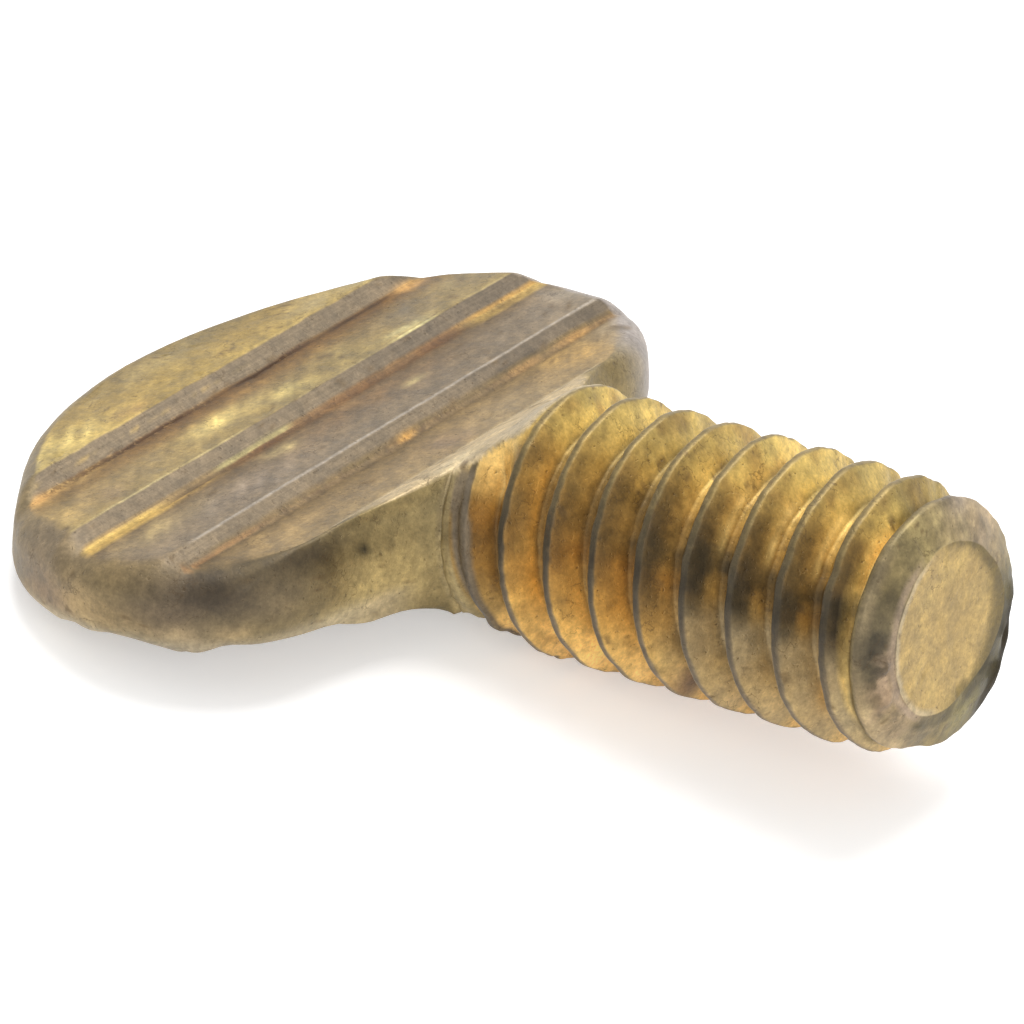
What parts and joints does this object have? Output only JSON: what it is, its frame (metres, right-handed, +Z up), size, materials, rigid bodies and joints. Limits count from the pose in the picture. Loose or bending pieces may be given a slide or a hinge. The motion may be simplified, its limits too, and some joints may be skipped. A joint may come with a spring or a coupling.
{
  "type": "thumb screw",
  "caption": "Spade-head brass thumb screw with a flat serrated finger head and a short right-hand threaded shank ending in a flat chamfered tip.",
  "frame": {"origin": "centre of the footprint's bounding box, on the surface the screw lies on", "axes": "+Z up; the screw lies in the XZ plane with its tip towards +X, raised about 10.0 degrees; the head is wide along Y"},
  "size_m": [0.0238, 0.0182, 0.0077],
  "materials": {
    "brass": "aged cast brass with worn crests, dark dirt in the grooves and a dull grey patina on the head"
  },
  "bodies": {
    "root": {"thumb_screw": "brass"}
  },
  "joints": []
}
